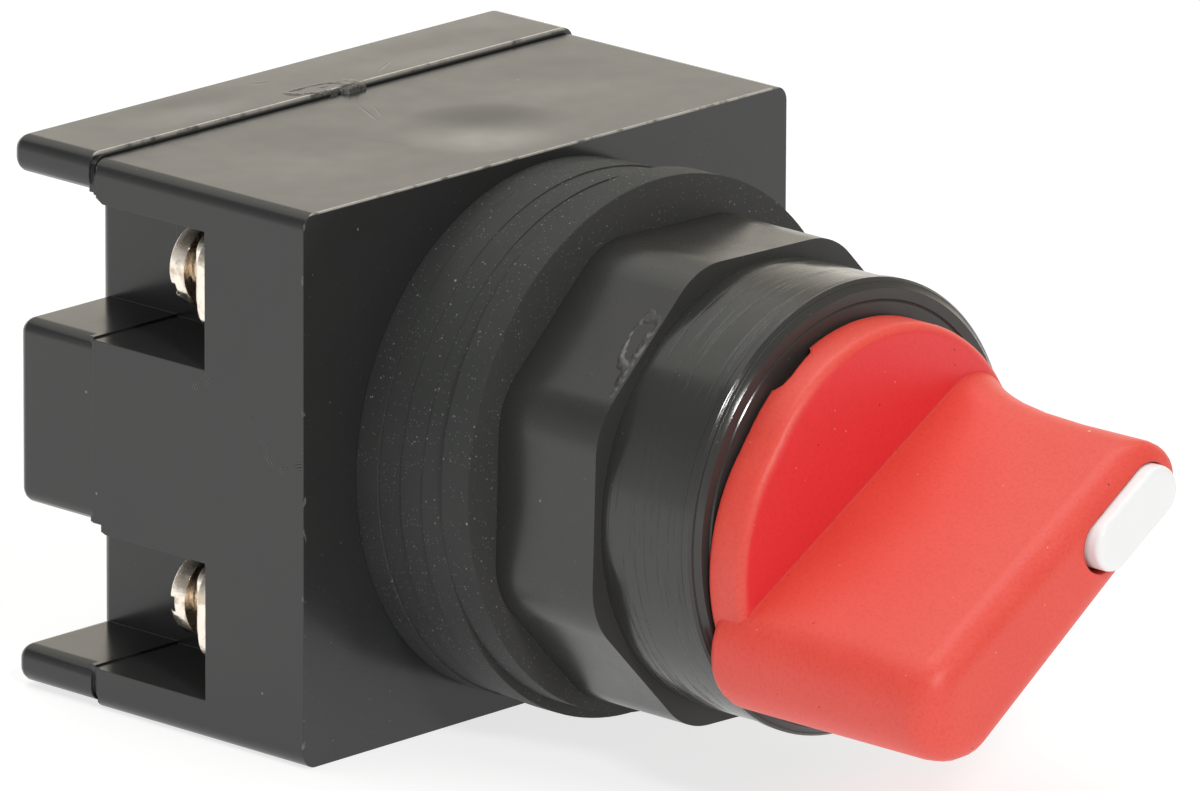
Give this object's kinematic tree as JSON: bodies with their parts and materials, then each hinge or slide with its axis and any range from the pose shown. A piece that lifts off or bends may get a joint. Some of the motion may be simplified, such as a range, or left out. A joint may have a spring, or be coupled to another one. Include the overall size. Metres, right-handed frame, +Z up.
{
  "type": "selector switch",
  "caption": "Rotary selector switch for a panel hole: wing knob with a pointer, threaded bushing with nut and gaskets, and a contact block with screw terminals.",
  "frame": {"origin": "on the switch axis, where the rear of the clamping nut meets the front of the gasket stack", "axes": "-Y along the switch axis towards the user, +X to the user's right, +Z up"},
  "size_m": [0.0542, 0.0896, 0.0449],
  "materials": {
    "black_moulding": "moulded, half gloss",
    "rubber": "matt, dusty",
    "red_knob": "moulded, matt",
    "white_insert": "moulded, half gloss",
    "nickel": "nickel plated, dull",
    "brass": "turned",
    "steel": "zinc plated",
    "silver": "silver, dull",
    "ivory_moulding": "moulded acetal",
    "tan_moulding": "moulded"
  },
  "bodies": {
    "base": {"front_housing": "black_moulding", "rear_cover": "black_moulding", "clamping_nut": "black_moulding", "panel_gasket_1": "rubber", "panel_gasket_2": "rubber", "panel_gasket_3": "rubber", "panel_gasket_4": "rubber", "panel_gasket_5": "rubber", "thrust_washer": "brass", "guide_plate": "tan_moulding", "detent_ball": "steel", "detent_spring": "steel", "contact_spring_upper": "steel", "contact_spring_lower": "steel", "fixed_contacts": "silver", "cover_screw_left": "steel", "cover_screw_right": "steel", "terminal_upper_left": "nickel", "clamp_upper_left": "nickel", "terminal_screw_upper_left": "nickel", "terminal_upper_right": "nickel", "clamp_upper_right": "nickel", "terminal_screw_upper_right": "nickel", "terminal_lower_left": "nickel", "clamp_lower_left": "nickel", "terminal_screw_lower_left": "nickel", "terminal_lower_right": "nickel", "clamp_lower_right": "nickel", "terminal_screw_lower_right": "nickel"},
    "operator": {"knob": "red_knob", "pointer_insert": "white_insert", "knob_screw": "steel", "shaft_cam": "ivory_moulding", "shaft_seal": "rubber"},
    "contact_upper": {"plunger_upper": "tan_moulding", "bridge_upper": "brass", "moving_contacts_upper": "silver"},
    "contact_lower": {"plunger_lower": "tan_moulding", "bridge_lower": "brass", "moving_contacts_lower": "silver"}
  },
  "joints": [
    {"name": "knob_turn", "type": "hinge", "parent": "base", "child": "operator", "pos_m": [0, 0, 0], "axis": [0, -1, 0], "range_deg": [0, 120]},
    {"name": "contact_upper_slide", "type": "slide", "parent": "base", "child": "contact_upper", "axis": [0, 1, 0], "range_m": [-0.0032, 0], "deforming": ["contact_spring_upper"]},
    {"name": "contact_lower_slide", "type": "slide", "parent": "base", "child": "contact_lower", "axis": [0, 1, 0], "range_m": [0, 0.0032], "deforming": ["contact_spring_lower"]}
  ],
  "couplings": [
    {"joint": "contact_upper_slide", "follows": "knob_turn", "m_per_rad": -0.0015278},
    {"joint": "contact_lower_slide", "follows": "knob_turn", "m_per_rad": 0.0015278}
  ]
}
